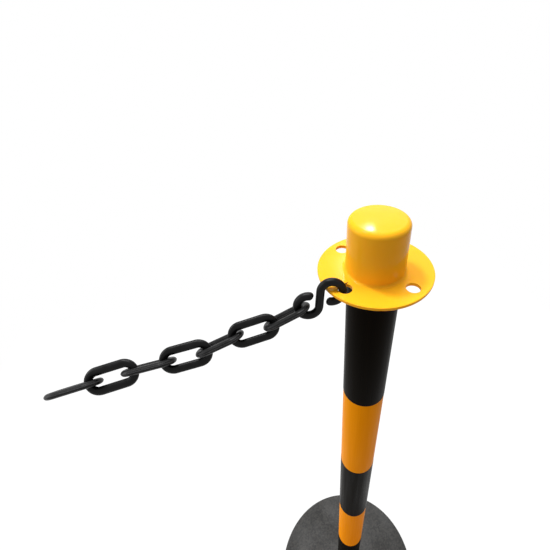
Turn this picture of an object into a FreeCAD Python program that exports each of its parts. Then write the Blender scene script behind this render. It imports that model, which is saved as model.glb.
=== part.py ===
"""Plastic chain post: rubber foot, banded pipe, moulded cap with eyelets, S-hook and chain.

Units are millimetres and degrees. The origin is the centre of the foot's underside, +Z is up,
and the chain leaves the post towards -X.
"""
import FreeCAD
import Part
import Sketcher
import math
import os

SIZES = {
    # Foot
    "base_diameter": 280.0,
    "base_rim_height": 20.0,
    "base_shoulder_height": 38.0,
    "base_height": 48.0,
    "base_collar_width": 9.0,
    "base_edge_radius": 5.0,
    "base_socket_floor": 6.0,
    "base_socket_fit": 0.15,
    # Pipe
    "tube_diameter": 40.0,
    "tube_wall": 2.0,
    # Black film sleeves on the pipe
    "band_first_drop": 151.0,
    "band_foot_gap": 61.0,
    "band_film": 0.15,
    "band_fit": 0.02,
    # Cap: flange and knob
    "flange_height": 860.0,
    "flange_width": 20.0,
    "flange_thickness": 2.5,
    "flange_edge_radius": 0.5,
    "knob_foot_wall": 1.35,
    "knob_top_wall": 0.75,
    "knob_height": 41.0,
    "knob_crown": 1.0,
    "knob_edge_radius": 4.0,
    "knob_foot_fillet": 2.0,
    "cap_fit": 0.15,
    "cap_engagement": 22.0,
    "cap_wall": 1.6,
    "cap_ceiling": 2.5,
    # Eyelets in the flange
    "eyelet_diameter": 10.0,
    "eyelet_offset": 10.5,
    "eyelet_azimuth": 210.0,
    # S-hook
    "hook_wire": 5.9,
    "hook_loop_radius": 7.54,
    "hook_shank_half": 5.78,
    "hook_sweep": 292.0,
    "hook_tip_flat": 0.5,
    "hook_eyelet_gap": 0.51,
    "hook_seat_azimuth": 181.0,
    "hook_seat_angle": 171.0,
    "hook_yaw": -9.9,
    "hook_tilt": 12.0,
    "hook_turn": 6.8,
    # Chain links
    "link_inner_length": 25.25,
    "link_window_fit": 0.7,
    "link_bar_width": 6.1,
    "link_bow_width": 5.4,
    "link_thickness": 4.3,
    "link_side_flat": 0.1,
    "link_gap": 0.55,
}

# Slope below the horizontal and roll about its own length of each link as it hangs.
LINK_SLOPES = (22.6, 9.3, 19.1, 5.5, 4.2, 8.6, 8.2)
LINK_ROLLS = (27.0, 116.0, 31.0, 122.5, 42.0, 127.0, 45.0)

EYELET_COUNT = 4
BAND_STEPS = 4
HOOK_LOOPS = 2
FULL_TURN = 360.0
MATCH = 1e-4
UP = FreeCAD.Vector(0, 0, 1)


class Size:
    """A length with its number and the sheet expression that yields it."""

    def __init__(self, value, text):
        self.value = float(value)
        self.text = text

    def __add__(self, other):
        return Size(self.value + other.value, f"({self.text} + {other.text})")

    def __sub__(self, other):
        return Size(self.value - other.value, f"({self.text} - {other.text})")

    def __neg__(self):
        return Size(-self.value, f"(-{self.text})")

    def __mul__(self, factor):
        return Size(self.value * factor, f"({self.text} * {factor})")

    def __truediv__(self, factor):
        return Size(self.value / factor, f"({self.text} / {factor})")


ZERO = Size(0.0, "0")


class Sizes:
    """The sheet of driving dimensions."""

    def __init__(self, doc):
        self.sheet = doc.addObject("Spreadsheet::Sheet", "Sizes")
        for row, (alias, value) in enumerate(SIZES.items(), start=1):
            self.sheet.set(f"A{row}", alias)
            self.sheet.set(f"B{row}", str(value))
            self.sheet.setAlias(f"B{row}", alias)
        doc.recompute()

    def __getitem__(self, alias):
        return Size(getattr(self.sheet, alias), f"Sizes.{alias}")

    def number(self, alias):
        return float(getattr(self.sheet, alias))


def origin_feature(body, role):
    """Return the body's own origin plane or axis with this role."""
    return next(item for item in body.Origin.OriginFeatures if item.Role == role)


def new_body(doc, label):
    body = doc.addObject("PartDesign::Body", label)
    body.Label = label
    return body


def new_sketch(body, name, plane):
    sketch = body.newObject("Sketcher::SketchObject", name)
    sketch.AttachmentSupport = (origin_feature(body, plane), [""])
    sketch.MapMode = "FlatFace"
    return sketch


def pin_axis(sketch, kind, axis, geometry, vertex, size):
    """Hold one coordinate of a sketch point at a size from the sketch's axis."""
    if size.value == 0.0:
        sketch.addConstraint(Sketcher.Constraint("PointOnObject", geometry, vertex, axis))
        return
    rule = Sketcher.Constraint(kind, -1, 1, geometry, vertex, size.value)
    index = sketch.addConstraint(rule)
    sketch.setExpression(f"Constraints[{index}]", size.text)


def pin(sketch, geometry, vertex, point):
    """Hold a sketch point at its two sizes."""
    pin_axis(sketch, "DistanceX", -2, geometry, vertex, point[0])
    pin_axis(sketch, "DistanceY", -1, geometry, vertex, point[1])


def drive(sketch, rule, size):
    """Add a dimension that follows a size."""
    index = sketch.addConstraint(rule)
    sketch.setExpression(f"Constraints[{index}]", size.text)


def flat(point):
    return FreeCAD.Vector(point[0].value, point[1].value, 0)


def dome(start, end):
    """An arc from start up to end, which lies on the vertical axis, with its centre there too."""
    rise = end.y - start.y
    radius = (start.x ** 2 + rise ** 2) / (2 * rise)
    centre = FreeCAD.Vector(0, end.y - radius, 0)
    first = math.atan2(start.y - centre.y, start.x)
    return Part.ArcOfCircle(Part.Circle(centre, UP, radius), first, math.pi / 2)


def profile(sketch, points, domed=None):
    """Draw a closed outline through points. The edge numbered domed is an arc about the axis."""
    count = len(points)
    for index in range(count):
        start = flat(points[index])
        end = flat(points[(index + 1) % count])
        edge = dome(start, end) if index == domed else Part.LineSegment(start, end)
        sketch.addGeometry(edge, False)
    for index in range(count):
        follower = (index + 1) % count
        sketch.addConstraint(Sketcher.Constraint("Coincident", index, 2, follower, 1))
    for index in range(count):
        pin(sketch, index, 1, points[index])
    if domed is not None:
        sketch.addConstraint(Sketcher.Constraint("PointOnObject", domed, 3, -2))


def circle(sketch, centre, radius):
    """Draw a circle held at its centre and radius."""
    number = sketch.addGeometry(Part.Circle(flat(centre), UP, radius.value), False)
    pin(sketch, number, 3, centre)
    drive(sketch, Sketcher.Constraint("Radius", number, radius.value), radius)
    return number


def revolve(doc, body, name, points, domed=None):
    """Turn an outline about the body's vertical axis."""
    sketch = new_sketch(body, name + "_outline", "XZ_Plane")
    profile(sketch, points, domed)
    turned = body.newObject("PartDesign::Revolution", name + "_turned")
    turned.Profile = sketch
    turned.ReferenceAxis = (sketch, ["V_Axis"])
    turned.Angle = FULL_TURN
    doc.recompute()
    return turned


def ring_edges(shape, radius, height):
    """Names of the circular edges about the axis with this radius at this height."""
    names = []
    for number, edge in enumerate(shape.Edges, start=1):
        if edge.Degenerated or not isinstance(edge.Curve, Part.Circle):
            continue
        curve = edge.Curve
        centred = math.hypot(curve.Center.x, curve.Center.y) < MATCH
        level = abs(curve.Center.z - height.value) < MATCH
        if centred and level and abs(curve.Radius - radius.value) < MATCH:
            names.append(f"Edge{number}")
    return names


def fillet(doc, body, name, base, edges, radius):
    rounded = body.newObject("PartDesign::Fillet", name)
    rounded.Base = (base, edges)
    rounded.Radius = radius.value
    rounded.setExpression("Radius", radius.text)
    doc.recompute()
    return rounded


def make_base(doc, sizes):
    """Solid round foot with a blind socket for the pipe."""
    body = new_body(doc, "base")
    outer = sizes["base_diameter"] / 2
    socket = sizes["tube_diameter"] / 2 + sizes["base_socket_fit"]
    collar = socket + sizes["base_collar_width"]
    points = (
        (ZERO, ZERO),
        (outer, ZERO),
        (outer, sizes["base_rim_height"]),
        (collar, sizes["base_shoulder_height"]),
        (collar, sizes["base_height"]),
        (socket, sizes["base_height"]),
        (socket, sizes["base_socket_floor"]),
        (ZERO, sizes["base_socket_floor"]),
    )
    turned = revolve(doc, body, "base", points)
    edges = ring_edges(turned.Shape, outer, sizes["base_rim_height"])
    edges += ring_edges(turned.Shape, collar, sizes["base_shoulder_height"])
    fillet(doc, body, "base_rounding", turned, edges, sizes["base_edge_radius"])
    return body


def make_sleeve(doc, label, inner, outer, bottom, top):
    """A plain round pipe from one height to another."""
    body = new_body(doc, label)
    sketch = new_sketch(body, label + "_section", "XY_Plane")
    circle(sketch, (ZERO, ZERO), inner)
    circle(sketch, (ZERO, ZERO), outer)
    length = top - bottom
    pad = body.newObject("PartDesign::Pad", label + "_length")
    pad.Profile = sketch
    pad.Length = length.value
    pad.setExpression("Length", length.text)
    doc.recompute()
    body.Placement.Base = FreeCAD.Vector(0, 0, bottom.value)
    body.setExpression("Placement.Base.z", bottom.text)
    return body


def make_tube(doc, sizes):
    outer = sizes["tube_diameter"] / 2
    top = sizes["flange_height"] + sizes["cap_engagement"]
    inner = outer - sizes["tube_wall"]
    return make_sleeve(doc, "tube", inner, outer, sizes["base_socket_floor"], top)


def make_bands(doc, sizes):
    """Three black sleeves: one under the flange, two more with equal bare pipe between them."""
    inner = sizes["tube_diameter"] / 2 + sizes["band_fit"]
    outer = inner + sizes["band_film"]
    first = sizes["flange_height"] - sizes["band_first_drop"]
    last = sizes["base_height"] + sizes["band_foot_gap"]
    spacing = (first - last) / BAND_STEPS
    under_flange = sizes["flange_height"] - sizes["flange_thickness"]
    return [
        make_sleeve(doc, "band_upper", inner, outer, first, under_flange),
        make_sleeve(doc, "band_middle", inner, outer, first - spacing * 2, first - spacing),
        make_sleeve(doc, "band_lower", inner, outer, last, last + spacing),
    ]


def add_eyelets(doc, body, sizes):
    """Four through holes on one circle in the flange, outside the knob's foot."""
    bore = sizes["tube_diameter"] / 2 + sizes["cap_fit"]
    reach = bore + sizes["knob_foot_wall"] + sizes["eyelet_offset"]
    sketch = new_sketch(body, "eyelet_outline", "XY_Plane")
    circle(sketch, (reach, ZERO), sizes["eyelet_diameter"] / 2)
    hole = body.newObject("PartDesign::Pocket", "eyelet")
    hole.Profile = sketch
    hole.Length = sizes["flange_thickness"].value
    hole.setExpression("Length", sizes["flange_thickness"].text)
    doc.recompute()
    ring = body.newObject("PartDesign::PolarPattern", "eyelets")
    ring.Originals = [hole]
    ring.Axis = (origin_feature(body, "Z_Axis"), [""])
    ring.Angle = FULL_TURN
    ring.Occurrences = EYELET_COUNT
    body.Tip = ring
    doc.recompute()


def make_cap(doc, sizes):
    """Hollow knob and flat flange in one moulding. Its own zero height is the flange's top."""
    body = new_body(doc, "cap")
    bore = sizes["tube_diameter"] / 2 + sizes["cap_fit"]
    foot = bore + sizes["knob_foot_wall"]
    rim = foot + sizes["flange_width"]
    crest = bore + sizes["knob_top_wall"]
    inside = crest - sizes["cap_wall"]
    under = -sizes["flange_thickness"]
    edge = sizes["knob_height"] - sizes["knob_crown"]
    ceiling = sizes["knob_height"] - sizes["cap_ceiling"]
    points = (
        (bore, under),
        (rim, under),
        (rim, ZERO),
        (foot, ZERO),
        (crest, edge),
        (ZERO, sizes["knob_height"]),
        (ZERO, ceiling),
        (inside, ceiling),
        (inside, sizes["cap_engagement"]),
        (bore, sizes["cap_engagement"]),
    )
    turned = revolve(doc, body, "cap", points, domed=4)
    rims = ring_edges(turned.Shape, rim, ZERO) + ring_edges(turned.Shape, rim, under)
    soft_rim = fillet(doc, body, "rim_rounding", turned, rims, sizes["flange_edge_radius"])
    foot_edges = ring_edges(soft_rim.Shape, foot, ZERO)
    soft_foot = fillet(doc, body, "foot_fillet", soft_rim, foot_edges, sizes["knob_foot_fillet"])
    crest_edges = ring_edges(soft_foot.Shape, crest, edge)
    fillet(doc, body, "knob_rounding", soft_foot, crest_edges, sizes["knob_edge_radius"])
    add_eyelets(doc, body, sizes)
    height = FreeCAD.Vector(0, 0, sizes.number("flange_height"))
    turn = FreeCAD.Rotation(UP, sizes.number("eyelet_azimuth"))
    body.Placement = FreeCAD.Placement(height, turn)
    body.setExpression("Placement.Base.z", sizes["flange_height"].text)
    return body


def hook_path(sketch, sizes):
    """Half the S: from the shank's middle up and round the upper loop to its tip."""
    radius = sizes["hook_loop_radius"]
    half = sizes["hook_shank_half"]
    sweep = math.radians(sizes.number("hook_sweep"))
    centre = (-radius, half)
    shank = Part.LineSegment(FreeCAD.Vector(0, 0, 0), FreeCAD.Vector(0, half.value, 0))
    sketch.addGeometry(shank, False)
    loop = Part.ArcOfCircle(Part.Circle(flat(centre), UP, radius.value), 0.0, sweep)
    sketch.addGeometry(loop, False)
    sketch.addConstraint(Sketcher.Constraint("Coincident", 0, 1, -1, 1))
    pin(sketch, 0, 2, (ZERO, half))
    sketch.addConstraint(Sketcher.Constraint("Coincident", 0, 2, 1, 1))
    pin(sketch, 1, 3, centre)
    turn = Size(sizes.number("hook_sweep"), "Sizes.hook_sweep * 1 deg")
    rule = Sketcher.Constraint("Angle", 1, FreeCAD.Units.Quantity(f"{turn.value} deg"))
    drive(sketch, rule, turn)


def tip_edges(shape, radius):
    """Names of the edges round the hook's two free ends."""
    names = []
    for number, edge in enumerate(shape.Edges, start=1):
        curve = edge.Curve
        whole = isinstance(curve, Part.Circle) and edge.isClosed()
        if whole and abs(curve.Radius - radius.value) < MATCH:
            names.append(f"Edge{number}")
    return names


def make_hook(doc, sizes):
    """Round wire bent to an S with its two loops on opposite sides of a short shank."""
    body = new_body(doc, "s_hook")
    wire = sizes["hook_wire"] / 2
    path = new_sketch(body, "hook_path", "XY_Plane")
    hook_path(path, sizes)
    section = new_sketch(body, "hook_section", "XZ_Plane")
    circle(section, (ZERO, ZERO), wire)
    half = body.newObject("PartDesign::AdditivePipe", "hook_half")
    half.Profile = section
    half.Spine = path
    doc.recompute()
    both = body.newObject("PartDesign::PolarPattern", "hook_halves")
    both.Originals = [half]
    both.Axis = (origin_feature(body, "Z_Axis"), [""])
    both.Angle = FULL_TURN
    both.Occurrences = HOOK_LOOPS
    body.Tip = both
    doc.recompute()
    rounding = wire - sizes["hook_tip_flat"]
    tips = tip_edges(both.Shape, wire)
    fillet(doc, body, "hook_tips", both, tips, rounding)
    body.Placement = hook_placement(sizes)
    return body


def hook_axes(sizes):
    """Unit vectors of the hook: outward, upward and normal to its plane."""
    yaw = math.radians(sizes.number("hook_yaw"))
    tilt = math.radians(sizes.number("hook_tilt"))
    turn = math.radians(sizes.number("hook_turn"))
    level = FreeCAD.Vector(-math.cos(yaw), -math.sin(yaw), 0)
    side = level.cross(UP)
    rise = UP * math.cos(tilt) + side * math.sin(tilt)
    outward = level * math.cos(turn) + rise * math.sin(turn)
    upward = rise * math.cos(turn) - level * math.sin(turn)
    return outward, upward, outward.cross(upward)


def eyelet_centre(sizes):
    """Middle of the eyelet that holds the hook."""
    azimuth = math.radians(sizes.number("eyelet_azimuth"))
    bore = sizes.number("tube_diameter") / 2 + sizes.number("cap_fit")
    reach = bore + sizes.number("knob_foot_wall") + sizes.number("eyelet_offset")
    height = sizes.number("flange_height") - sizes.number("flange_thickness") / 2
    return FreeCAD.Vector(reach * math.cos(azimuth), reach * math.sin(azimuth), height)


def hook_origin(sizes):
    """Middle of the shank, with the upper loop's wire near the eyelet's wall."""
    outward, upward, _ = hook_axes(sizes)
    wall = sizes.number("eyelet_diameter") / 2
    slack = wall - sizes.number("hook_wire") / 2 - sizes.number("hook_eyelet_gap")
    lean = math.radians(sizes.number("hook_seat_azimuth"))
    seat = eyelet_centre(sizes) + FreeCAD.Vector(math.cos(lean), math.sin(lean), 0) * slack
    angle = math.radians(sizes.number("hook_seat_angle"))
    radius = sizes.number("hook_loop_radius")
    along = radius * math.cos(angle) - radius
    over = radius * math.sin(angle) + sizes.number("hook_shank_half")
    return seat - outward * along - upward * over


def hook_placement(sizes):
    outward, upward, normal = hook_axes(sizes)
    turn = FreeCAD.Rotation(outward, upward, normal, "XYZ")
    return FreeCAD.Placement(hook_origin(sizes), turn)


def hook_upper_centre(sizes):
    outward, upward, _ = hook_axes(sizes)
    along = outward * -sizes.number("hook_loop_radius")
    return hook_origin(sizes) + along + upward * sizes.number("hook_shank_half")


def hook_lower_centre(sizes):
    outward, upward, _ = hook_axes(sizes)
    along = outward * sizes.number("hook_loop_radius")
    return hook_origin(sizes) + along - upward * sizes.number("hook_shank_half")


def link_axes(index):
    """Unit vectors of a link: along the chain, across the link and normal to its plane."""
    slope = math.radians(LINK_SLOPES[index])
    roll = math.radians(LINK_ROLLS[index])
    along = FreeCAD.Vector(-math.cos(slope), 0, -math.sin(slope))
    rise = FreeCAD.Vector(-math.sin(slope), 0, math.cos(slope))
    level = FreeCAD.Vector(0, -1, 0)
    across = level * math.cos(roll) + rise * math.sin(roll)
    return along, across, along.cross(across)


def first_pivot(sizes):
    """Wire centre of the hook's lower loop where the first link pulls."""
    outward, upward, _ = hook_axes(sizes)
    along, _, _ = link_axes(0)
    pull = outward * along.dot(outward) + upward * along.dot(upward)
    pull.normalize()
    return hook_lower_centre(sizes) + pull * sizes.number("hook_loop_radius")


def link_centres_and_pivots(sizes):
    """Middle of each link, and the wire centre that it swings about."""
    wire = sizes.number("link_bow_width")
    reach = (sizes.number("link_inner_length") + wire) / 2
    held = (sizes.number("hook_wire") + wire) / 2 + sizes.number("link_gap")
    pivot = first_pivot(sizes)
    centres = []
    pivots = []
    for index in range(len(LINK_SLOPES)):
        along, _, _ = link_axes(index)
        centre = pivot + along * (reach - held)
        centres.append(centre)
        pivots.append(pivot)
        pivot = centre + along * reach
        held = wire + sizes.number("link_gap")
    return centres, pivots


def stadium(sketch, half, radius):
    """Closed outline of two straight sides, each twice half long, and two half-round ends."""
    first = sketch.GeometryCount
    corners = ((-half, radius), (half, radius), (half, -radius), (-half, -radius))
    back_top, front_top, front_low, back_low = (flat(corner) for corner in corners)
    front = Part.Circle(FreeCAD.Vector(half.value, 0, 0), UP, radius.value)
    back = Part.Circle(FreeCAD.Vector(-half.value, 0, 0), UP, radius.value)
    quarter = math.pi / 2
    sketch.addGeometry(Part.LineSegment(back_top, front_top), False)
    sketch.addGeometry(Part.ArcOfCircle(front, -quarter, quarter), False)
    sketch.addGeometry(Part.LineSegment(front_low, back_low), False)
    sketch.addGeometry(Part.ArcOfCircle(back, quarter, 3 * quarter), False)
    joins = ((0, 2, 1, 2), (1, 1, 2, 1), (2, 2, 3, 2), (3, 1, 0, 1))
    for line, end, other, other_end in joins:
        rule = Sketcher.Constraint("Coincident", first + line, end, first + other, other_end)
        sketch.addConstraint(rule)
    pin(sketch, first, 1, corners[0])
    pin(sketch, first, 2, corners[1])
    pin(sketch, first + 2, 1, corners[2])
    pin(sketch, first + 2, 2, corners[3])
    pin_axis(sketch, "DistanceX", -2, first + 1, 3, half)
    pin_axis(sketch, "DistanceX", -2, first + 3, 3, -half)


def link_outline(sketch, sizes):
    """Window and outer edge of a link. The hook's wire passes the window with room on both sides."""
    window = sizes["hook_wire"] / 2 + sizes["link_window_fit"]
    outer = window + sizes["link_bar_width"]
    inner_length = sizes["link_inner_length"] / 2
    stadium(sketch, inner_length + sizes["link_bow_width"] - outer, outer)
    stadium(sketch, inner_length - window, window)


def face_edges(shape, heights):
    """Names of the edges that lie in the level planes at these heights."""
    names = []
    for number, edge in enumerate(shape.Edges, start=1):
        box = edge.BoundBox
        level = box.ZMax - box.ZMin < MATCH
        if level and any(abs(box.ZMin - height) < MATCH for height in heights):
            names.append(f"Edge{number}")
    return names


def make_link(doc, sizes, index, centre):
    """One closed link with rounded edges, placed as it hangs."""
    label = f"chain_link_{index + 1}"
    body = new_body(doc, label)
    outline = new_sketch(body, label + "_outline", "XY_Plane")
    link_outline(outline, sizes)
    thickness = sizes["link_thickness"]
    pad = body.newObject("PartDesign::Pad", label + "_ring")
    pad.Profile = outline
    pad.setExpression("Length", thickness.text)
    doc.recompute()
    edges = face_edges(pad.Shape, (0.0, thickness.value))
    rounding = (thickness - sizes["link_side_flat"]) / 2
    fillet(doc, body, label + "_edges", pad, edges, rounding)
    along, across, normal = link_axes(index)
    turn = FreeCAD.Rotation(along, across, normal, "XYZ")
    body.Placement = FreeCAD.Placement(centre - normal * (thickness.value / 2), turn)
    return body


def make_links(doc, sizes):
    centres, _ = link_centres_and_pivots(sizes)
    return [make_link(doc, sizes, index, centre) for index, centre in enumerate(centres)]


def check(doc, bodies):
    """Stop if any feature failed or any piece is not one valid solid."""
    for item in doc.Objects:
        if "Invalid" in item.State or "Error" in item.State:
            raise RuntimeError(f"{item.Name} failed: {item.State}")
    for body in bodies:
        shape = body.Shape
        if shape.isNull() or not shape.isValid() or len(shape.Solids) != 1:
            raise RuntimeError(f"{body.Label} is not one valid solid")


def main():
    doc = FreeCAD.newDocument("chain_post")
    sizes = Sizes(doc)
    bodies = [make_base(doc, sizes), make_tube(doc, sizes)]
    bodies += make_bands(doc, sizes)
    bodies.append(make_cap(doc, sizes))
    bodies.append(make_hook(doc, sizes))
    bodies += make_links(doc, sizes)
    doc.recompute()
    check(doc, bodies)
    os.makedirs("parts", exist_ok=True)
    for body in bodies:
        body.Shape.exportStep(f"parts/{body.Label}.step")
        print(f"{body.Label}: {body.Shape.Volume:.1f} mm3")


if __name__ == "__main__":
    main()
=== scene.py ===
"""Looks of a plastic chain post: yellow pipe with black sleeves, yellow cap, S-hook and chain.

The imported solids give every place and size. The foot, pipe, sleeves and cap keep their solids and
get their finishes here. The hook and the links are drawn again with the fine ridge of their mould.
"""

import logging
import math
from dataclasses import dataclass, field
from enum import Enum
from typing import Any

import bpy
import numpy as np
from bpy.types import Material, Node, NodeSocket, NodeTree, Object
from mathutils import Matrix, Vector


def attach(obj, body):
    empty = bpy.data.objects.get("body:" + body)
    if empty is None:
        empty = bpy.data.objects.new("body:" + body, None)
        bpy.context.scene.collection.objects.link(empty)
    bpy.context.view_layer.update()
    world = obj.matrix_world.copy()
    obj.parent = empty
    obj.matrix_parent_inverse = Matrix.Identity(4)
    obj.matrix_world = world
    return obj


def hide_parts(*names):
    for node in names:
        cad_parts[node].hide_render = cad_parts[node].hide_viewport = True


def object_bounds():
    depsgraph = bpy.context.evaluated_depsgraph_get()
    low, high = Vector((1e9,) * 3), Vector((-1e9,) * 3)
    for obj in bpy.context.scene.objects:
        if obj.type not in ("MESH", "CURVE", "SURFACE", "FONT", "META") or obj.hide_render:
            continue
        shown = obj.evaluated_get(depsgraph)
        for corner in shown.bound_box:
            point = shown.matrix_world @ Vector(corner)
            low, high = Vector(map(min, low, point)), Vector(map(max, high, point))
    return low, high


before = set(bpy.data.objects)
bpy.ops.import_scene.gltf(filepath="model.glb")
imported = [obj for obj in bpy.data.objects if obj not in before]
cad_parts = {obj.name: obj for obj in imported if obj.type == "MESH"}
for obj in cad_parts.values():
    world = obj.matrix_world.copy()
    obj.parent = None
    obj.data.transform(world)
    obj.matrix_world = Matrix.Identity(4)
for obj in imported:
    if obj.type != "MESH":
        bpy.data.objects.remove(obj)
CAD_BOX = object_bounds()

LOG = logging.getLogger("chain_post")
MM = 0.001
IMAGE_WIDTH = 550
WHITE = "#FFFFFF"
# Most values of a noise pattern lie in this band.
NOISE_BAND = (0.3, 0.7)

Point = tuple[float, float, float]
Band = tuple[float, float]


class Slot(Enum):
    """Finish named in the record; nothing here uses it."""

    BLACK = "black_plastic"


class Ends(Enum):
    """How a surface that follows a path ends."""

    JOINED = "the last ring meets the first"
    POLES = "each end closes to a point"


def linear(hex_code: str) -> tuple[float, float, float, float]:
    """Turn an sRGB hex colour to linear light, by the sRGB standard's curve.

    Args:
        hex_code: Six hex digits after a hash mark.

    Returns:
        Red, green, blue and full alpha.
    """
    coded = np.array([int(hex_code[i : i + 2], 16) for i in (1, 3, 5)]) / 255.0
    light = np.where(coded <= 0.04045, coded / 12.92, ((coded + 0.055) / 1.055) ** 2.4)
    return (*(float(part) for part in light), 1.0)


def per_metre(size_mm: float) -> float:
    """Texture scale whose pattern repeats about once in a length given in millimetres."""
    return 1.0 / (size_mm * MM)


def add_node(
    tree: NodeTree, kind: str, inputs: dict[str | int, Any] | None = None, **settings: Any
) -> Node:
    """Add a node with its settings and links.

    Args:
        tree: Node tree that gets the node.
        kind: Blender's name of the node type.
        inputs: Value or output socket for each input, by name or number.
        **settings: Properties of the node.

    Returns:
        The new node.
    """
    node = tree.nodes.new(kind)
    for name, value in settings.items():
        setattr(node, name, value)
    for name, value in (inputs or {}).items():
        if isinstance(value, NodeSocket):
            tree.links.new(value, node.inputs[name])
        else:
            node.inputs[name].default_value = value
    return node


def add_object(name: str, data: Any) -> Object:
    """Put an object with its data into the scene.

    Args:
        name: Name of the object.
        data: Mesh, light or camera.

    Returns:
        The object, at the origin.
    """
    thing = bpy.data.objects.new(name, data)
    bpy.context.scene.collection.objects.link(thing)
    return thing


def new_material(name: str) -> tuple[Material, NodeTree, NodeSocket]:
    """Start a material.

    Args:
        name: Name of the real material.

    Returns:
        The material, its emptied node tree and the Object coordinates.
    """
    material = bpy.data.materials.new(name)
    material.use_nodes = True
    tree = material.node_tree
    tree.nodes.clear()
    return material, tree, add_node(tree, "ShaderNodeTexCoord").outputs["Object"]


def close_material(tree: NodeTree, shader: Node) -> None:
    """Send a shader to the material's output.

    Args:
        tree: Node tree of the material.
        shader: Shader node that is complete.
    """
    add_node(tree, "ShaderNodeOutputMaterial", {"Surface": shader.outputs[0]})


def noise(
    tree: NodeTree, place: NodeSocket, size_mm: float, detail: float, falloff: float = 0.5
) -> NodeSocket:
    """Soft random pattern.

    Args:
        tree: Node tree that gets the node.
        place: Coordinates in metres.
        size_mm: Length in which the pattern repeats about once.
        detail: Number of finer layers.
        falloff: Strength of each layer as a share of the one before.

    Returns:
        Output socket of the pattern's value.
    """
    inputs = {"Vector": place, "Scale": per_metre(size_mm), "Detail": detail, "Roughness": falloff}
    return add_node(tree, "ShaderNodeTexNoise", inputs).outputs["Fac"]


def grains(tree: NodeTree, place: NodeSocket, size_mm: float) -> Node:
    """Pattern of packed cells.

    Args:
        tree: Node tree that gets the node.
        place: Coordinates in metres.
        size_mm: Usual width of a cell.

    Returns:
        The node, with each place's distance from its cell's middle and each cell's colour.
    """
    return add_node(tree, "ShaderNodeTexVoronoi", {"Vector": place, "Scale": per_metre(size_mm)})


def blend(tree: NodeTree, share: NodeSocket, first: str | NodeSocket, second: str) -> NodeSocket:
    """Blend two colours.

    Args:
        tree: Node tree that gets the node.
        share: Share of the second colour.
        first: Hex colour, or a socket that gives one.
        second: Hex colour.

    Returns:
        Output socket of the blended colour.
    """
    start = linear(first) if isinstance(first, str) else first
    inputs = {"Factor": share, "A": start, "B": linear(second)}
    return add_node(tree, "ShaderNodeMix", inputs, data_type="RGBA").outputs["Result"]


def remap(tree: NodeTree, value: NodeSocket, source: Band, target: Band) -> NodeSocket:
    """Carry a value from one band to another, held at the bands' ends.

    Args:
        tree: Node tree that gets the node.
        value: Value to carry.
        source: Ends of the band it comes from.
        target: Ends of the band it goes to.

    Returns:
        Output socket of the new value.
    """
    ends = dict(zip(("From Min", "From Max", "To Min", "To Max"), source + target))
    return add_node(tree, "ShaderNodeMapRange", {"Value": value, **ends}).outputs["Result"]


def relief(
    tree: NodeTree, height: NodeSocket, depth_mm: float, strength: float, invert: bool = False
) -> NodeSocket:
    """Fine relief of a skin.

    Args:
        tree: Node tree that gets the node.
        height: Height from nought to one.
        depth_mm: Depth that a height of one stands for.
        strength: Share of the relief that shows.
        invert: Whether high values lie deep.

    Returns:
        Output socket of the bent normal.
    """
    inputs = {"Height": height, "Strength": strength, "Distance": depth_mm * MM}
    return add_node(tree, "ShaderNodeBump", inputs, invert=invert).outputs["Normal"]


def draw_out(tree: NodeTree, place: NodeSocket, stretch: float) -> NodeSocket:
    """Coordinates for a pattern that is drawn out along the pipe.

    Args:
        tree: Node tree that gets the node.
        place: Coordinates in metres.
        stretch: Scale along the pipe, where a small one gives long streaks.

    Returns:
        Output socket of the new coordinates.
    """
    inputs = {"Vector": place, "Scale": (1.0, 1.0, stretch)}
    return add_node(tree, "ShaderNodeMapping", inputs).outputs["Vector"]


@dataclass(frozen=True)
class MouldedPolypropylene:
    """Glossy injection-moulded polypropylene of the cap.

    It gives the eye a warm, even yellow with a soft sheen, faint clouds where the melt flowed and a
    few darker specks.
    """

    colour: str = "#FFB620"
    cloud: str = "#FFBA28"
    speck: str = "#D89A00"
    tint: str = "#FFF4DC"
    roughness: Band = (0.10, 0.18)
    ior: float = 1.5
    specular: float = 0.06
    glow_share: float = 0.25
    glow_mm: Point = (1.2, 0.5, 0.1)
    cloud_mm: float = 14.0
    cloud_detail: float = 3.0
    cloud_falloff: float = 0.45
    speck_mm: float = 0.5
    speck_core: float = 0.6
    speck_share: float = 0.55
    speck_spacing_mm: float = 15.0
    skin_mm: float = 1.2
    skin_detail: float = 2.0
    skin_height_mm: float = 0.006
    skin_strength: float = 0.6

    def make(self) -> Material:
        """Build the material.

        Returns:
            The cap's material.
        """
        material, tree, place = new_material("moulded polypropylene yellow")
        clouds = noise(tree, place, self.cloud_mm, self.cloud_detail, self.cloud_falloff)
        body = blend(tree, clouds, self.colour, self.cloud)
        away = grains(tree, place, self.speck_spacing_mm).outputs["Distance"]
        reach = self.speck_mm / self.speck_spacing_mm
        dots = remap(tree, away, (reach * self.speck_core, reach), (self.speck_share, 0.0))
        skin = noise(tree, place, self.skin_mm, self.skin_detail)
        shader = add_node(
            tree, "ShaderNodeBsdfPrincipled",
            {"Base Color": blend(tree, dots, body, self.speck),
             "Roughness": remap(tree, clouds, NOISE_BAND, self.roughness),
             "IOR": self.ior, "Specular IOR Level": self.specular,
             "Specular Tint": linear(self.tint),
             "Normal": relief(tree, skin, self.skin_height_mm, self.skin_strength),
             "Subsurface Weight": self.glow_share, "Subsurface Radius": self.glow_mm,
             "Subsurface Scale": MM},
        )
        close_material(tree, shader)
        return material


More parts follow.
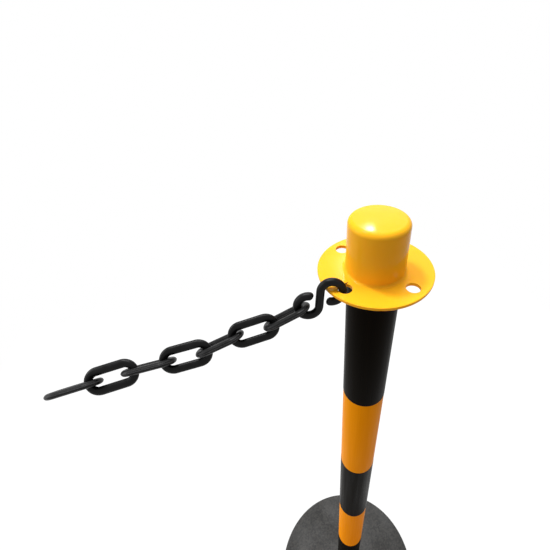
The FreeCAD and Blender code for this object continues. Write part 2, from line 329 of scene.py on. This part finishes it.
@dataclass(frozen=True)
class ExtrudedPvc:
    """Extruded rigid PVC of the pipe.

    It gives the eye a deep yellow with faint draw lines along the pipe.
    """

    colour: str = "#FFA400"
    line: str = "#F59800"
    tint: str = "#FFC85A"
    roughness: Band = (0.31, 0.44)
    ior: float = 1.53
    specular: float = 0.01
    line_mm: float = 1.6
    line_detail: float = 3.0
    line_stretch: float = 0.02
    line_height_mm: float = 0.02
    line_strength: float = 0.5

    def make(self) -> Material:
        """Build the material.

        Returns:
            The pipe's material.
        """
        material, tree, place = new_material("extruded PVC yellow")
        drawn = draw_out(tree, place, self.line_stretch)
        lines = noise(tree, drawn, self.line_mm, self.line_detail)
        shader = add_node(
            tree, "ShaderNodeBsdfPrincipled",
            {"Base Color": blend(tree, lines, self.colour, self.line),
             "Roughness": remap(tree, lines, NOISE_BAND, self.roughness),
             "IOR": self.ior, "Specular IOR Level": self.specular,
             "Specular Tint": linear(self.tint),
             "Normal": relief(tree, lines, self.line_height_mm, self.line_strength)},
        )
        close_material(tree, shader)
        return material


@dataclass(frozen=True)
class VinylFilm:
    """Black calendered vinyl film wrapped round the pipe.

    It gives the eye a near black, a little warm, with soft vertical streaks where it follows the
    pipe.
    """

    colour: str = "#0A0805"
    streak: str = "#130F0A"
    roughness: Band = (0.24, 0.42)
    ior: float = 1.53
    specular: float = 0.008
    streak_mm: float = 3.5
    streak_detail: float = 4.0
    streak_stretch: float = 0.03
    streak_height_mm: float = 0.02
    streak_strength: float = 0.6

    def make(self) -> Material:
        """Build the material.

        Returns:
            The sleeves' material.
        """
        material, tree, place = new_material("calendered vinyl film black")
        drawn = draw_out(tree, place, self.streak_stretch)
        streaks = noise(tree, drawn, self.streak_mm, self.streak_detail)
        shader = add_node(
            tree, "ShaderNodeBsdfPrincipled",
            {"Base Color": blend(tree, streaks, self.colour, self.streak),
             "Roughness": remap(tree, streaks, NOISE_BAND, self.roughness),
             "IOR": self.ior, "Specular IOR Level": self.specular,
             "Normal": relief(tree, streaks, self.streak_height_mm, self.streak_strength)},
        )
        close_material(tree, shader)
        return material


@dataclass(frozen=True)
class CrumbRubber:
    """Pressed recycled rubber crumb of the foot.

    It gives the eye a dull black of packed grains, some of them greyer, with a pitted skin.
    """

    colour: str = "#191919"
    pale_grain: str = "#2E2D2B"
    roughness: Band = (0.72, 0.92)
    ior: float = 1.52
    grain_mm: float = 3.2
    grain_height_mm: float = 0.35
    grain_strength: float = 0.7
    dust_mm: float = 40.0
    dust_detail: float = 4.0

    def make(self) -> Material:
        """Build the material.

        Returns:
            The foot's material.
        """
        material, tree, place = new_material("recycled crumb rubber")
        crumb = grains(tree, place, self.grain_mm)
        shade = add_node(tree, "ShaderNodeSeparateColor", {"Color": crumb.outputs["Color"]})
        dust = noise(tree, place, self.dust_mm, self.dust_detail)
        pits = crumb.outputs["Distance"]
        shader = add_node(
            tree, "ShaderNodeBsdfPrincipled",
            {"Base Color": blend(tree, shade.outputs["Red"], self.colour, self.pale_grain),
             "Roughness": remap(tree, dust, NOISE_BAND, self.roughness), "IOR": self.ior,
             "Normal": relief(tree, pits, self.grain_height_mm, self.grain_strength, invert=True)},
        )
        close_material(tree, shader)
        return material


@dataclass(frozen=True)
class MouldedPolyethylene:
    """Black injection-moulded polyethylene of the hook and the chain.

    It gives the eye a soft black gloss with rubbed grey patches, and a painted highlight: a paler,
    broken line along the ridge where the mould's halves met.
    """

    colour: str = "#080808"
    rubbed: str = "#141415"
    # The ridge colour is a painted highlight along the mould ridge.
    ridge: str = "#5E5E60"
    roughness: Band = (0.29, 0.44)
    ior: float = 1.51
    specular: float = 0.13
    rub_mm: float = 7.0
    rub_detail: float = 4.0
    rub_band: Band = (0.4, 0.7)
    sheen_band: Band = (0.35, 0.7)
    painted_glint_break_mm: float = 1.3
    painted_glint_break_detail: float = 1.0
    skin_mm: float = 1.0
    skin_detail: float = 2.0
    skin_height_mm: float = 0.015
    skin_strength: float = 0.6

    def make(self) -> Material:
        """Build the material.

        Returns:
            The hook's and links' material.
        """
        material, tree, place = new_material("moulded polyethylene black")
        rubs = noise(tree, place, self.rub_mm, self.rub_detail)
        worn = remap(tree, rubs, self.rub_band, (0.0, 1.0))
        body = blend(tree, worn, self.colour, self.rubbed)
        # Painted highlight: the ridge's share, broken into dashes by noise, blends the paler ridge
        # colour in.
        glint_breaks = noise(tree, place, self.painted_glint_break_mm, self.painted_glint_break_detail)
        parting = add_node(tree, "ShaderNodeAttribute", attribute_name="parting")
        line = add_node(
            tree, "ShaderNodeMath", {0: parting.outputs["Fac"], 1: glint_breaks}, operation="MULTIPLY"
        )
        skin = noise(tree, place, self.skin_mm, self.skin_detail)
        shader = add_node(
            tree, "ShaderNodeBsdfPrincipled",
            {"Base Color": blend(tree, line.outputs["Value"], body, self.ridge),
             "Roughness": remap(tree, rubs, self.sheen_band, self.roughness),
             "IOR": self.ior, "Specular IOR Level": self.specular,
             "Normal": relief(tree, skin, self.skin_height_mm, self.skin_strength)},
        )
        close_material(tree, shader)
        return material


def dress(node: str, material: Material) -> None:
    """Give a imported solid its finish.

    Args:
        node: Name of the solid.
        material: Finish for its whole surface.
    """
    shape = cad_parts[node]
    shape.data.materials.clear()
    shape.data.materials.append(material)
    LOG.info("%s: %s", node, material.name)


def unit(vector: np.ndarray) -> np.ndarray:
    """Vector of length one in the same direction, or one for each row."""
    return vector / np.linalg.norm(vector, axis=-1, keepdims=True)


@dataclass(frozen=True)
class Surface:
    """Points in millimetres and faces of one closed surface, with its share of mould ridge."""

    points: np.ndarray
    quads: np.ndarray
    triangles: np.ndarray
    parting: np.ndarray

    def volume(self) -> float:
        """Signed volume, as the sum over the faces of a pyramid to the origin.

        Returns:
            Cubic millimetres, positive where the faces point outwards.
        """
        fans = np.concatenate((self.quads[:, [0, 1, 2]], self.quads[:, [0, 2, 3]], self.triangles))
        a, b, c = (self.points[fans[:, k]] for k in range(3))
        return float(np.einsum("ij,ij->i", a, np.cross(b, c)).sum() / 6)


def carry(
    path: np.ndarray, side: np.ndarray, lift: np.ndarray, section: np.ndarray,
    parting: np.ndarray, ends: Ends,
) -> Surface:
    """Carry a closed section along a path.

    Point (i, j) is the path's point i, plus the section's first coordinate j along the side
    direction there, plus its second coordinate along the lift direction.

    Args:
        path: Points of the path, one row each.
        side: Unit side direction at each of them.
        lift: Unit lift direction at each of them.
        section: Section coordinates, by path point, place round the section and direction.
        parting: Share of mould ridge, by path point and place round the section.
        ends: How the surface ends.

    Returns:
        The surface, with its faces outwards.
    """
    rows, columns = section.shape[:2]
    grid = path[:, None] + section[..., :1] * side[:, None] + section[..., 1:] * lift[:, None]
    points = grid.reshape(-1, 3)
    share = parting.reshape(-1)
    row = np.arange(rows if ends is Ends.JOINED else rows - 1)[:, None]
    column = np.arange(columns)[None, :]
    after, beside = (row + 1) % rows, (column + 1) % columns
    corners = (row * columns + column, after * columns + column,
               after * columns + beside, row * columns + beside)
    quads = np.stack(corners, -1).reshape(-1, 4)
    triangles = np.zeros((0, 3), int)
    if ends is Ends.POLES:
        first, last = len(points), len(points) + 1
        ring = np.arange(columns)
        turned = (ring + 1) % columns
        top = (rows - 1) * columns
        triangles = np.concatenate((
            np.stack((np.full(columns, first), ring, turned), -1),
            np.stack((np.full(columns, last), top + turned, top + ring), -1),
        ))
        points = np.concatenate((points, path[[0, -1]]))
        share = np.concatenate((share, np.zeros(2)))
    surface = Surface(points, quads, triangles, share)
    if surface.volume() < 0:
        surface = Surface(points, quads[:, ::-1], triangles[:, ::-1], share)
    return surface


def new_piece(name: str, surfaces: list[Surface], material: Material) -> Object:
    """Make one object of closed surfaces.

    Args:
        name: Name of the piece.
        surfaces: Its surfaces, in millimetres in the shared frame.
        material: Its finish.

    Returns:
        The object, at the origin, with smooth faces and a ridge attribute.
    """
    starts = np.cumsum([0] + [len(s.points) for s in surfaces])
    points = np.concatenate([s.points for s in surfaces]) * MM
    faces: list[list[int]] = []
    for start, surface in zip(starts, surfaces):
        faces += (surface.quads + start).tolist() + (surface.triangles + start).tolist()
    mesh = bpy.data.meshes.new(name)
    mesh.from_pydata(points.tolist(), [], faces)
    mesh.polygons.foreach_set("use_smooth", np.ones(len(faces), bool))
    share = mesh.attributes.new("parting", "FLOAT", "POINT")
    parting = np.concatenate([s.parting for s in surfaces]).astype(np.float32)
    share.data.foreach_set("value", parting)
    mesh.materials.append(material)
    mesh.update()
    LOG.info("%s: %d faces, %s", name, len(faces), material.name)
    return add_object(name, mesh)


@dataclass(frozen=True)
class MouldRidge:
    """Fine ridge where the mould's halves met, on both sides of a wire. Lengths in millimetres."""

    height: float = 0.08
    width: float = 0.5
    around: int = 48

    def section(
        self, half_wide: float | np.ndarray, half_thick: float
    ) -> tuple[np.ndarray, np.ndarray]:
        """Oval section with the ridge on both wide ends.

        The oval is half_wide less the ridge's height by half_thick. The ridge adds its height times
        a bell curve of the distance from the parting plane, so its crest is at half_wide.

        Args:
            half_wide: Half the wire in its plane, with the ridge: one value or a column of them.
            half_thick: Half the wire across its plane.

        Returns:
            Coordinates round the section, and the share of ridge at each place round it.
        """
        angle = np.arange(self.around) * (2 * np.pi / self.around)
        across = half_thick * np.sin(angle)
        share = np.exp(-((2 * across / self.width) ** 2))
        crest = self.height * share * np.sign(np.cos(angle))
        wide = (half_wide - self.height) * np.cos(angle) + crest
        return np.stack(np.broadcast_arrays(wide, across), -1), share


@dataclass
class Post:
    """Foot, pipe, sleeves and cap, which keep their solids."""

    foot: CrumbRubber = field(default_factory=CrumbRubber)
    pipe: ExtrudedPvc = field(default_factory=ExtrudedPvc)
    sleeve: VinylFilm = field(default_factory=VinylFilm)
    cap: MouldedPolypropylene = field(default_factory=MouldedPolypropylene)
    sleeves: tuple[str, ...] = ("band_upper", "band_middle", "band_lower")

    def dress(self) -> None:
        """Give each solid of the post its finish."""
        dress("base", self.foot.make())
        dress("tube", self.pipe.make())
        film = self.sleeve.make()
        for name in self.sleeves:
            dress(name, film)
        dress("cap", self.cap.make())


@dataclass
class SHook:
    """Round wire bent to an S, hung in one eyelet of the flange. Lengths in millimetres."""

    wire: float = 5.9
    loop_radius: float = 7.54
    shank_half: float = 5.78
    sweep_deg: float = 292.0
    tip_flat: float = 0.5
    eyelet_reach: float = 32.0
    eyelet_azimuth_deg: float = 210.0
    eyelet_height: float = 858.75
    seat_slack: float = 1.54
    seat_azimuth_deg: float = 181.0
    seat_angle_deg: float = 171.0
    yaw_deg: float = -9.9
    tilt_deg: float = 12.0
    turn_deg: float = 6.8
    gate_angle_deg: float = 143.0
    gate_width: float = 1.1
    gate_height: float = 2.4
    gate_root: float = 0.8
    gate_blunt: float = 0.02
    ridge: MouldRidge = field(default_factory=MouldRidge)
    line_steps: int = 12
    loop_steps: int = 110
    tip_steps: int = 12
    gate_steps: int = 14
    gate_around: int = 16

    def axes(self) -> tuple[np.ndarray, np.ndarray, np.ndarray]:
        """Directions of the hook.

        Returns:
            Outward and upward in its plane, and the plane's normal.
        """
        yaw, tilt, turn = np.radians((self.yaw_deg, self.tilt_deg, self.turn_deg))
        level = np.array((-np.cos(yaw), -np.sin(yaw), 0.0))
        plumb = np.array((0.0, 0.0, 1.0))
        rise = plumb * np.cos(tilt) + np.cross(level, plumb) * np.sin(tilt)
        outward = level * np.cos(turn) + rise * np.sin(turn)
        upward = rise * np.cos(turn) - level * np.sin(turn)
        return outward, upward, np.cross(outward, upward)

    def origin(self) -> np.ndarray:
        """Middle of the shank, from the place where the upper loop crosses the eyelet.

        Returns:
            The point in the shared frame.
        """
        outward, upward, _ = self.axes()
        hole, lean, angle = np.radians(
            (self.eyelet_azimuth_deg, self.seat_azimuth_deg, self.seat_angle_deg)
        )
        seat = np.array((
            self.eyelet_reach * np.cos(hole) + self.seat_slack * np.cos(lean),
            self.eyelet_reach * np.sin(hole) + self.seat_slack * np.sin(lean),
            self.eyelet_height,
        ))
        reach = self.loop_radius * (np.cos(angle) - 1)
        rise = self.loop_radius * np.sin(angle) + self.shank_half
        return seat - outward * reach - upward * rise

    def lower_centre(self) -> np.ndarray:
        """Middle of the lower loop, which carries the chain."""
        outward, upward, _ = self.axes()
        return self.origin() + outward * self.loop_radius - upward * self.shank_half

    def half_line(self) -> tuple[np.ndarray, np.ndarray, np.ndarray]:
        """Upper half of the S in its own plane, from the shank's middle to the tip.

        A straight run up the shank is followed by an arc round the upper loop. The wire keeps its
        radius until the tip, which is rounded as a quarter circle round a small flat.

        Returns:
            Points and tangents, one row each, and the wire's share of its radius there.
        """
        radius, full = self.loop_radius, math.radians(self.sweep_deg)
        rounding = self.wire / 2 - self.tip_flat
        run = np.linspace(0, self.shank_half, self.line_steps, endpoint=False)
        arc = np.linspace(0, full - rounding / radius, self.loop_steps, endpoint=False)
        swell = np.linspace(0, np.pi / 2, self.tip_steps)
        tip = full - rounding / radius * (1 - np.sin(swell))
        turned = np.concatenate((arc, tip))
        sideways, upwards = radius * (np.cos(turned) - 1), self.shank_half + radius * np.sin(turned)
        points = np.concatenate((
            np.stack((np.zeros_like(run), run), -1),
            np.stack((sideways, upwards), -1),
        ))
        tangents = np.concatenate((
            np.stack((np.zeros_like(run), np.ones_like(run)), -1),
            np.stack((-np.sin(turned), np.cos(turned)), -1),
        ))
        share = np.ones(len(points))
        share[-self.tip_steps:] = (self.tip_flat + rounding * np.cos(swell)) / (self.wire / 2)
        return points, tangents, share

    def gate(self) -> Surface:
        """Stub that the mould's gate left on the upper loop's outer ridge.

        A circle carried straight out of the wire, from a root that lies inside it. Its radius goes
        with the square root of what is left of the way to the stub's end.

        Returns:
            The stub's closed surface.
        """
        outward, upward, normal = self.axes()
        angle = math.radians(self.gate_angle_deg)
        radial = outward * math.cos(angle) + upward * math.sin(angle)
        along = upward * math.cos(angle) - outward * math.sin(angle)
        centre = self.origin() - outward * self.loop_radius + upward * self.shank_half
        way = np.linspace(-self.gate_root, 1.0, self.gate_steps)
        foot = centre + radial * (self.loop_radius + self.wire / 2)
        path = foot + radial * (way[:, None] * self.gate_height)
        left = (1.0 + self.gate_blunt - way) / (1.0 + self.gate_root)
        radius = self.gate_width / 2 * np.sqrt(np.clip(left, 0, 1))
        spin = np.arange(self.gate_around) * (2 * np.pi / self.gate_around)
        ring = np.stack((np.cos(spin), np.sin(spin)), -1)
        section = radius[:, None, None] * ring[None]
        side, lift = (np.broadcast_to(axis, path.shape) for axis in (along, normal))
        return carry(path, side, lift, section, np.zeros(section.shape[:2]), Ends.POLES)

    def wire_surface(self) -> Surface:
        """Wire of the whole S: both halves of its line, one the half turn of the other.

        Returns:
            The wire's closed surface.
        """
        outward, upward, normal = self.axes()
        points, tangents, share = self.half_line()
        points = np.concatenate((-points[:0:-1], points))
        tangents = np.concatenate((tangents[:0:-1], tangents))
        share = np.concatenate((share[:0:-1], share))
        path = self.origin() + points[:, :1] * outward + points[:, 1:] * upward
        side = tangents[:, 1:] * outward - tangents[:, :1] * upward
        ring, ridge = self.ridge.section(self.wire / 2, self.wire / 2)
        section = share[:, None, None] * ring[None]
        lift = np.broadcast_to(normal, path.shape)
        parting = np.broadcast_to(ridge, section.shape[:2])
        return carry(path, side, lift, section, parting, Ends.POLES)

    def build(self, material: Material) -> None:
        """Make the hook and let it stand for its solid.

        Args:
            material: The hook's finish.
        """
        piece = new_piece("hook_wire", [self.wire_surface(), self.gate()], material)
        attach(piece, "hook")
        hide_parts("s_hook")


@dataclass
class Chain:
    """Closed links that hang from the hook's lower loop. Lengths in millimetres."""

    inner_length: float = 25.25
    window: float = 7.3
    bar_width: float = 6.1
    bow_width: float = 5.4
    thickness: float = 4.3
    gap: float = 0.55
    slopes_deg: tuple[float, ...] = (22.6, 9.3, 19.1, 5.5, 4.2, 8.6, 8.2)
    rolls_deg: tuple[float, ...] = (27.0, 116.0, 31.0, 122.5, 42.0, 127.0, 45.0)
    ridge: MouldRidge = field(default_factory=MouldRidge)
    side_steps: int = 36
    bow_steps: int = 48

    def axes(self, index: int) -> tuple[np.ndarray, np.ndarray, np.ndarray]:
        """Directions of one link.

        Args:
            index: Place in the chain, from nought at the hook.

        Returns:
            Along and across the link, and its normal.
        """
        slope, roll = np.radians((self.slopes_deg[index], self.rolls_deg[index]))
        along = np.array((-np.cos(slope), 0.0, -np.sin(slope)))
        rise = np.array((-np.sin(slope), 0.0, np.cos(slope)))
        across = np.array((0.0, -1.0, 0.0)) * np.cos(roll) + rise * np.sin(roll)
        return along, across, np.cross(along, across)

    def centres(self, hook: SHook) -> list[np.ndarray]:
        """Middles of the links, each hung in the one before.

        Args:
            hook: The hook that carries the first link.

        Returns:
            One point for each link.
        """
        reach = (self.inner_length + self.bow_width) / 2
        _, _, normal = hook.axes()
        first = self.axes(0)[0]
        pull = unit(first - normal * (first @ normal))
        pivot = hook.lower_centre() + pull * hook.loop_radius
        held = (hook.wire + self.bow_width) / 2 + self.gap
        middles = []
        for index in range(len(self.slopes_deg)):
            along = self.axes(index)[0]
            middles.append(pivot + along * (reach - held))
            pivot = middles[-1] + along * reach
            held = self.bow_width + self.gap
        return middles

    def outline(self, half: float, radius: float) -> np.ndarray:
        """Rounded oblong: two straight sides, each twice half long, and two half-round bows.

        Args:
            half: Half the length of a straight side.
            radius: Radius of the bows.

        Returns:
            Points along and across the link, with as many on every outline.
        """
        run = np.linspace(-half, half, self.side_steps, endpoint=False)
        turn = np.linspace(0, np.pi, self.bow_steps, endpoint=False)
        top = np.concatenate((
            np.stack((run, np.full_like(run, radius)), -1),
            np.stack((half + radius * np.sin(turn), radius * np.cos(turn)), -1),
        ))
        return np.concatenate((top, -top))

    def link_surface(self, index: int, centre: np.ndarray) -> Surface:
        """One link: an oval bar carried round between its window and its outer edge.

        At each step the bar is as wide as the way from the window's outline to the outer one.

        Args:
            index: Place in the chain, from nought at the hook.
            centre: Middle of the link.

        Returns:
            The link's closed surface.
        """
        along, across, normal = self.axes(index)
        inner, outer = self.window / 2, self.window / 2 + self.bar_width
        near = self.outline(self.inner_length / 2 - inner, inner)
        far = self.outline(self.inner_length / 2 + self.bow_width - outer, outer)
        middle, side = (near + far) / 2, unit(far - near)
        half_wide = np.linalg.norm(far - near, axis=-1) / 2
        path = centre + middle[:, :1] * along + middle[:, 1:] * across
        outside = side[:, :1] * along + side[:, 1:] * across
        section, ridge = self.ridge.section(half_wide[:, None], self.thickness / 2)
        lift = np.broadcast_to(normal, path.shape)
        parting = np.broadcast_to(ridge, section.shape[:2])
        return carry(path, outside, lift, section, parting, Ends.JOINED)

    def build(self, hook: SHook, material: Material) -> None:
        """Make every link and let each stand for its solid.

        Args:
            hook: The hook that carries the first link.
            material: The links' finish.
        """
        for index, centre in enumerate(self.centres(hook)):
            name = f"link_{index + 1}"
            piece = new_piece(name + "_wire", [self.link_surface(index, centre)], material)
            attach(piece, name)
            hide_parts(f"chain_{name}")


@dataclass(frozen=True)
class Lamp:
    """Far round lamp, by the direction it shines from and how wide it looks."""

    name: str
    azimuth_deg: float
    elevation_deg: float
    width_deg: float
    level: float
    distance: float = 2.0

    def place(self) -> None:
        """Add the lamp. A level of one shows a white surface that faces it as white.

        A sun's energy is the light on a facing surface, which is pi times the white that shows.
        """
        azimuth, elevation = math.radians(self.azimuth_deg), math.radians(self.elevation_deg)
        away = Vector((
            math.cos(elevation) * math.cos(azimuth),
            math.cos(elevation) * math.sin(azimuth),
            math.sin(elevation),
        ))
        light = bpy.data.lights.new(self.name, "SUN")
        light.angle = math.radians(self.width_deg)
        light.energy = self.level * math.pi
        lamp = add_object(self.name, light)
        lamp.location = away * self.distance
        lamp.rotation_euler = away.to_track_quat("Z", "Y").to_euler()


@dataclass
class Studio:
    """Pale floor, white surroundings, lamps and the camera. Lengths in metres where not said."""

    floor_size: float = 2.0
    floor_colour: str = "#D0A878"
    shadow_share: float = 0.1
    fill: float = 0.32
    # Each lamp's name, azimuth, elevation and width in degrees, and level.
    lamps: tuple[Lamp, ...] = (
        Lamp("key", 126.0, 66.0, 9.0, 0.6),
        Lamp("overhead", 66.0, 78.0, 26.0, 0.52),
        Lamp("back", 65.0, 30.0, 32.0, 0.13),
        Lamp("left", 165.0, 26.0, 40.0, 0.4),
        Lamp("glint", 69.0, 39.0, 2.5, 0.11),
    )
    eye_mm: Point = (-84.922, -182.115, 1018.501)
    right: Point = (0.96932, -0.24389, -0.03061)
    up: Point = (0.17451, 0.59511, 0.78447)
    focal_px: float = 352.448
    middle_px: tuple[float, float] = (315.5, 265.5)
    sensor_mm: float = 36.0
    near_clip: float = 0.01
    far_clip: float = 50.0

    def seen(self, tree: NodeTree) -> NodeSocket:
        """One for rays that show the background, nought for rays that light the object.

        Args:
            tree: Node tree that gets the nodes.

        Returns:
            Output socket of that number.
        """
        path = add_node(tree, "ShaderNodeLightPath")
        shown = add_node(
            tree, "ShaderNodeMath",
            {0: path.outputs["Is Camera Ray"], 1: path.outputs["Is Glossy Ray"]},
            operation="MAXIMUM",
        )
        return add_node(
            tree, "ShaderNodeMath",
            {0: shown.outputs["Value"], 1: path.outputs["Is Transmission Ray"]},
            operation="MAXIMUM",
        ).outputs["Value"]

    def light_world(self) -> None:
        """Even soft light from all sides, with white behind the object."""
        world = bpy.data.worlds.new("white surroundings")
        world.use_nodes = True
        tree = world.node_tree
        tree.nodes.clear()
        strength = add_node(
            tree, "ShaderNodeMix", {"Factor": self.seen(tree), "A": self.fill, "B": 1.0}
        )
        sky = add_node(
            tree, "ShaderNodeBackground",
            {"Color": linear(WHITE), "Strength": strength.outputs["Result"]},
        )
        add_node(tree, "ShaderNodeOutputWorld", {"Surface": sky.outputs[0]})
        bpy.context.scene.world = world

    def floor_material(self) -> Material:
        """Pale matt floor that reads as white and keeps a light shadow.

        Returns:
            The floor's material.
        """
        material, tree, _ = new_material("pale studio floor")
        seen = self.seen(tree)
        pale = blend(tree, seen, self.floor_colour, WHITE)
        matt = add_node(tree, "ShaderNodeBsdfDiffuse", {"Color": pale})
        white = add_node(tree, "ShaderNodeEmission", {"Color": linear(WHITE), "Strength": 1.0})
        share = add_node(
            tree, "ShaderNodeMath", {0: seen, 1: 1.0 - self.shadow_share}, operation="MULTIPLY"
        )
        mixed = add_node(
            tree, "ShaderNodeMixShader",
            {0: share.outputs["Value"], 1: matt.outputs[0], 2: white.outputs[0]},
        )
        close_material(tree, mixed)
        return material

    def lay_floor(self) -> None:
        """Flat floor under the foot: two by two points on the level of its underside."""
        low = CAD_BOX[0][2]
        edge = np.array((-0.5, 0.5)) * self.floor_size
        x, y = np.meshgrid(edge, edge, indexing="ij")
        points = np.stack((x, y, np.full_like(x, low)), -1).reshape(-1, 3)
        mesh = bpy.data.meshes.new("studio_floor")
        mesh.from_pydata(points.tolist(), [], [(0, 2, 3, 1)])
        mesh.materials.append(self.floor_material())
        floor = add_object("studio_floor", mesh)

    def set_camera(self) -> None:
        """Camera of the photograph, from its place, its axes and its focal length in pixels."""
        right, up = Vector(self.right).normalized(), Vector(self.up).normalized()
        back = right.cross(up)
        lens = bpy.data.cameras.new("photo_view")
        lens.sensor_width = self.sensor_mm
        lens.lens = self.focal_px / IMAGE_WIDTH * lens.sensor_width
        lens.shift_x = 0.5 - self.middle_px[0] / IMAGE_WIDTH
        lens.shift_y = self.middle_px[1] / IMAGE_WIDTH - 0.5
        lens.clip_start = self.near_clip
        lens.clip_end = self.far_clip
        camera = add_object("photo_view", lens)
        turn = Matrix((right, up, back)).transposed().to_4x4()
        camera.matrix_world = Matrix.Translation(Vector(self.eye_mm) * MM) @ turn
        bpy.context.scene.camera = camera

    def build(self) -> None:
        """Set up floor, light and camera."""
        self.light_world()
        self.lay_floor()
        for lamp in self.lamps:
            lamp.place()
        self.set_camera()
        bpy.context.scene.view_settings.view_transform = "Standard"


def main() -> None:
    """Build and dress the part, then its studio."""
    logging.basicConfig(level=logging.INFO, format="%(name)s %(message)s", force=True)
    Post().dress()
    black = MouldedPolyethylene().make()
    hook = SHook()
    hook.build(black)
    Chain().build(hook, black)
    Studio().build()


if __name__ == "__main__":
    main()
